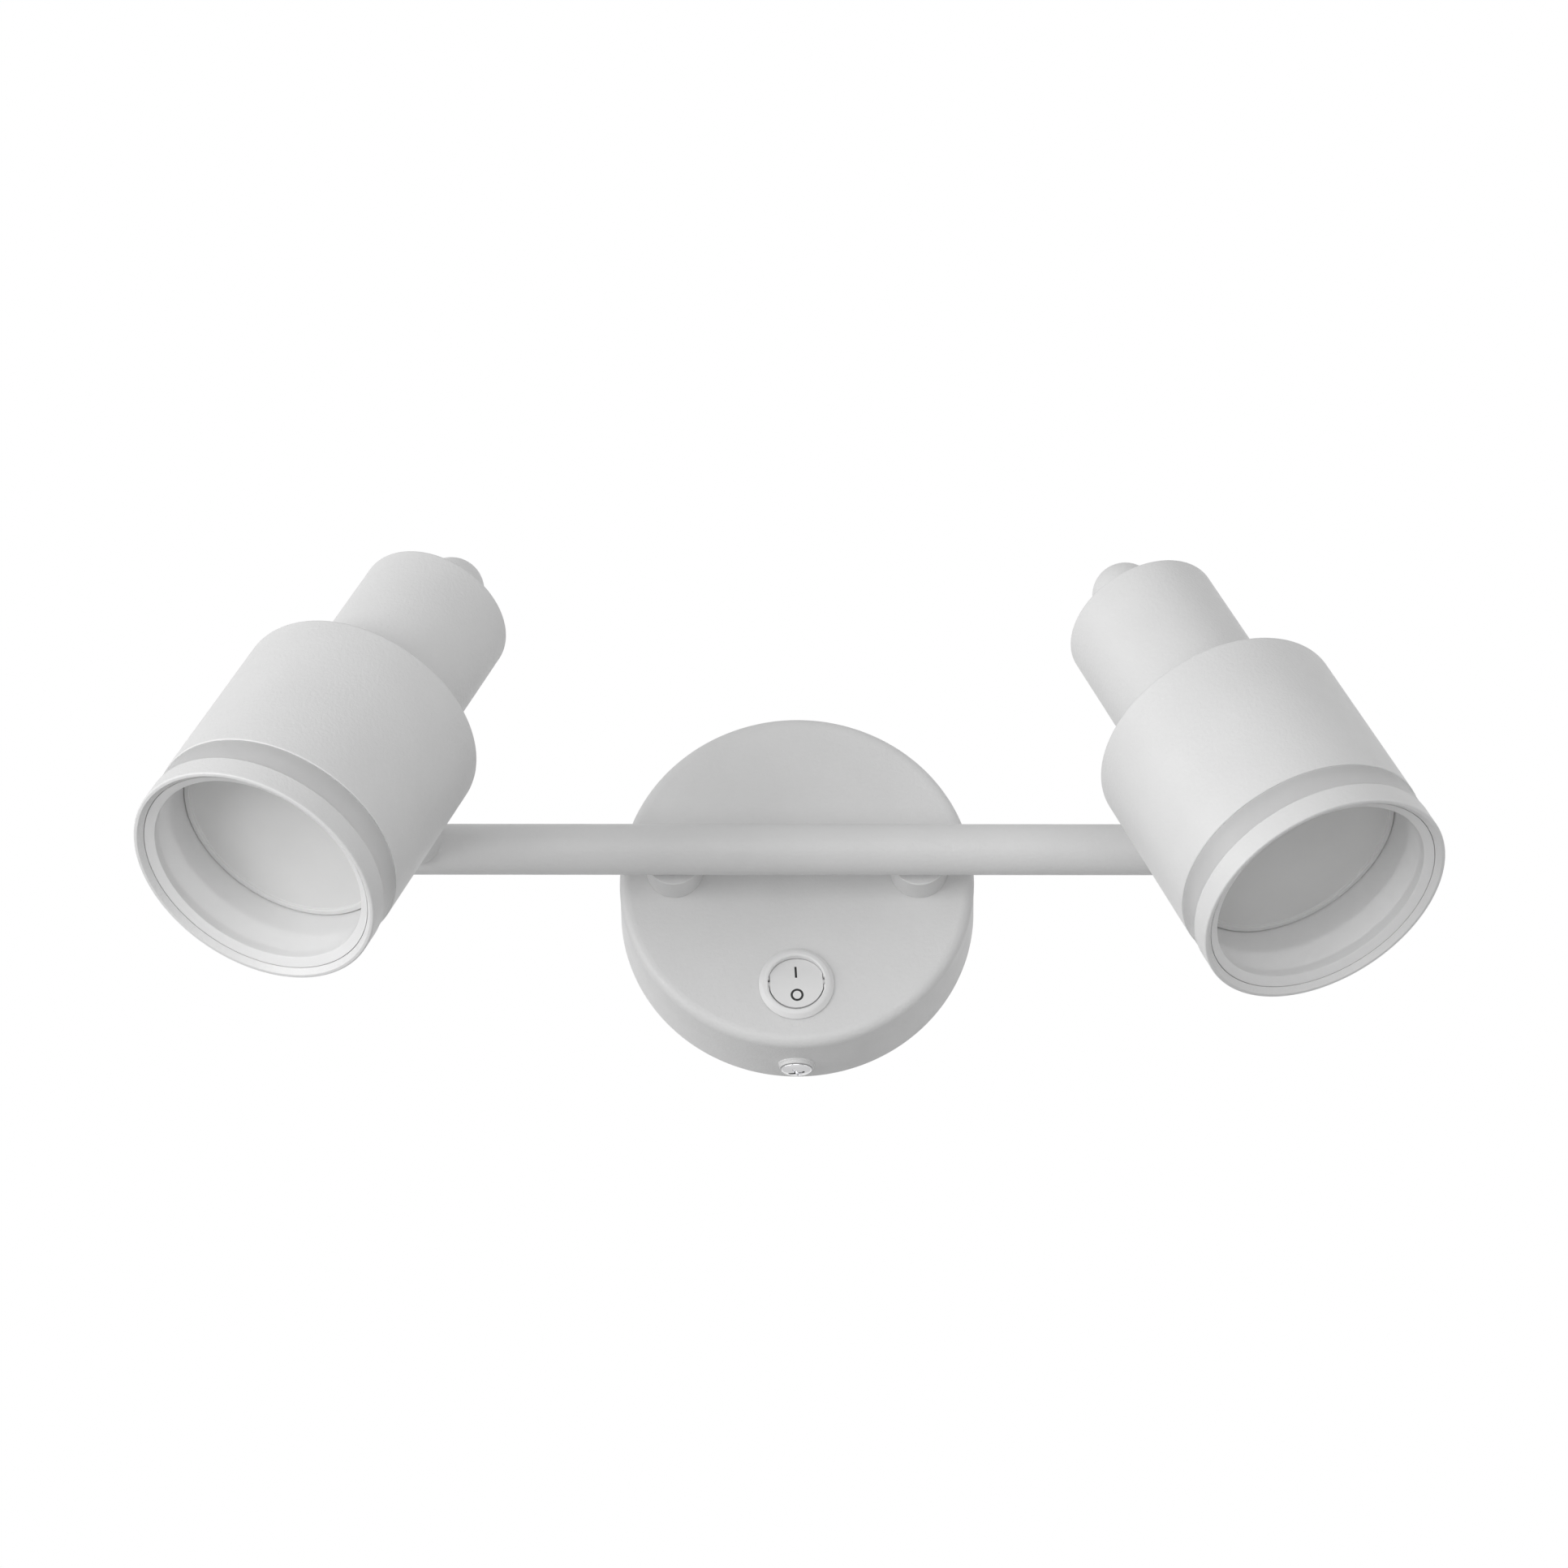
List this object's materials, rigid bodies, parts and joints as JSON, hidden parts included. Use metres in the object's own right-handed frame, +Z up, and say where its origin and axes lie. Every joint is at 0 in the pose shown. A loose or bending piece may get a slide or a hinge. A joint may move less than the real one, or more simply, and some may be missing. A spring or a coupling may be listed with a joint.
{
  "type": "adjustable spotlight",
  "caption": "Adjustable wall spotlight: round base with a rocker switch, straight bar, and swivelling, tilting cylindrical lamp heads with a clear light ring behind the rim.",
  "frame": {"origin": "centre of the base's back face, on the wall", "axes": "+X to the right, +Z up, +Y into the wall; the room is towards -Y"},
  "size_m": [0.3687, 0.1878, 0.1482],
  "materials": {
    "white_paint": "satin white powder coat",
    "head_paint": "satin white powder coat on aluminium",
    "white_plastic": "fine satin moulded plastic",
    "bright_steel": "bright nickel plate",
    "zinc_steel": "zinc-plated steel",
    "brass": "plain brass",
    "clear_acrylic": "clear acrylic, lightly frosted",
    "opal_plastic": "opal diffusing plastic",
    "reflector_plastic": "bright white moulded plastic",
    "board_white": "white solder mask with yellow emitters",
    "cast_aluminium": "as-cast aluminium",
    "fibre": "black fibre",
    "block_plastic": "natural nylon",
    "driver_plastic": "white moulded case"
  },
  "bodies": {
    "base": {"wall_plate": "zinc_steel", "earth_screw": "brass", "terminal_block": "block_plastic", "terminal_screws": "brass", "led_driver": "driver_plastic", "driver_screws": "zinc_steel", "base_cover": "white_paint", "side_screws": "bright_steel", "switch_housing": "white_plastic", "switch_terminals": "brass", "left_post": "white_paint", "right_post": "white_paint", "post_nipples": "zinc_steel", "post_nuts": "zinc_steel", "crossbar": "white_paint", "left_end_cap": "white_paint", "right_end_cap": "white_paint", "left_joint_seat": "white_paint", "right_joint_seat": "white_paint", "swivel_washers": "zinc_steel"},
    "rocker": {"switch_rocker": "white_plastic"},
    "left_swivel_part": {"left_knuckle": "white_paint", "left_swivel_bolt": "zinc_steel", "left_pivot_screw": "bright_steel", "left_pivot_nut": "zinc_steel", "left_friction_washer": "fibre"},
    "left_arm_part": {"left_arm": "white_paint", "left_stem_nut": "zinc_steel"},
    "left_lamp_head": {"left_stem_collar": "white_paint", "left_stem_seat": "zinc_steel", "left_rear_housing": "head_paint", "left_rear_cap": "head_paint", "left_head_shell": "head_paint", "left_front_ring": "head_paint", "left_light_ring": "clear_acrylic", "left_diffuser": "opal_plastic", "left_reflector": "reflector_plastic", "left_led_board": "board_white", "left_heat_sink": "cast_aluminium", "left_head_screws": "zinc_steel"},
    "right_swivel_part": {"right_knuckle": "white_paint", "right_swivel_bolt": "zinc_steel", "right_pivot_screw": "bright_steel", "right_pivot_nut": "zinc_steel", "right_friction_washer": "fibre"},
    "right_arm_part": {"right_arm": "white_paint", "right_stem_nut": "zinc_steel"},
    "right_lamp_head": {"right_stem_collar": "white_paint", "right_stem_seat": "zinc_steel", "right_rear_housing": "head_paint", "right_rear_cap": "head_paint", "right_head_shell": "head_paint", "right_front_ring": "head_paint", "right_light_ring": "clear_acrylic", "right_diffuser": "opal_plastic", "right_reflector": "reflector_plastic", "right_led_board": "board_white", "right_heat_sink": "cast_aluminium", "right_head_screws": "zinc_steel"}
  },
  "joints": [
    {"name": "switch_rock", "type": "hinge", "parent": "base", "child": "rocker", "pos_m": [0, -0.027, -0.035], "axis": [1, 0, 0], "range_deg": [0, 16]},
    {"name": "left_swivel", "type": "hinge", "parent": "base", "child": "left_swivel_part", "pos_m": [-0.1155, -0.0545, 0.0022], "axis": [0, -1, 0], "range_deg": [-96.5, 83.5]},
    {"name": "left_tilt", "type": "hinge", "parent": "left_swivel_part", "child": "left_arm_part", "pos_m": [-0.1155, -0.06855, 0.0022], "axis": [-0.9936, 0, -0.1132], "range_deg": [-65.5, 34.5]},
    {"name": "left_turn", "type": "hinge", "parent": "left_arm_part", "child": "left_lamp_head", "pos_m": [-0.11692, -0.09481, 0.01465], "axis": [0.0487, 0.9026, -0.4277], "range_deg": [-147, 93]},
    {"name": "right_swivel", "type": "hinge", "parent": "base", "child": "right_swivel_part", "pos_m": [0.1155, -0.0545, 0.0022], "axis": [0, 1, 0], "range_deg": [-85.5, 94.5]},
    {"name": "right_tilt", "type": "hinge", "parent": "right_swivel_part", "child": "right_arm_part", "pos_m": [0.1155, -0.06855, 0.0022], "axis": [-0.9969, 0, -0.0785], "range_deg": [-60.5, 39.5]},
    {"name": "right_turn", "type": "hinge", "parent": "right_arm_part", "child": "right_lamp_head", "pos_m": [0.1147, -0.09581, 0.01236], "axis": [-0.0275, -0.9367, 0.3491], "range_deg": [-138, 102]}
  ]
}
